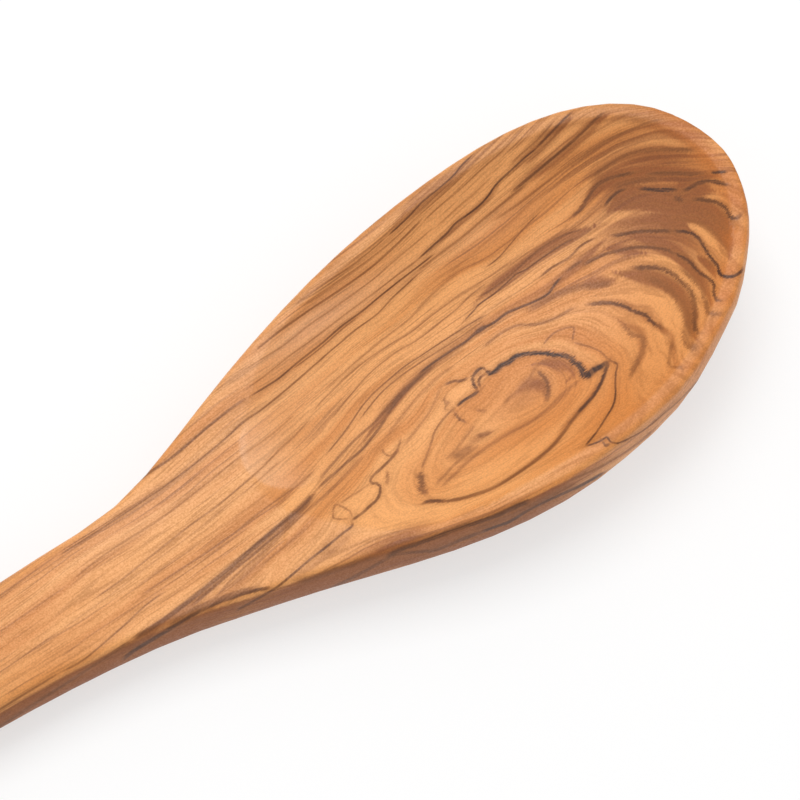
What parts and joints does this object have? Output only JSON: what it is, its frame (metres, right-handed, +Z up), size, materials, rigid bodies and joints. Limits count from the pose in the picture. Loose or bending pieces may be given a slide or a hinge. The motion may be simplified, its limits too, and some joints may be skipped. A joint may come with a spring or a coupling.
{
  "type": "wooden spoon",
  "caption": "Long-handled wooden cooking spoon with a deep oval bowl and a flat rim, carved in one piece with a full-length grain.",
  "frame": {"origin": "on the table under the middle of the spoon's bounding box, as the spoon lies on its belly and the heel of its handle", "axes": "+X along the spoon from the handle's end to the bowl's tip, +Y across towards the bowl's fuller edge, +Z up out of the hollow"},
  "size_m": [0.3, 0.0664, 0.0244],
  "materials": {
    "wood": "fine-sanded, lightly oiled, satin"
  },
  "bodies": {
    "root": {"spoon": "wood"}
  },
  "joints": []
}
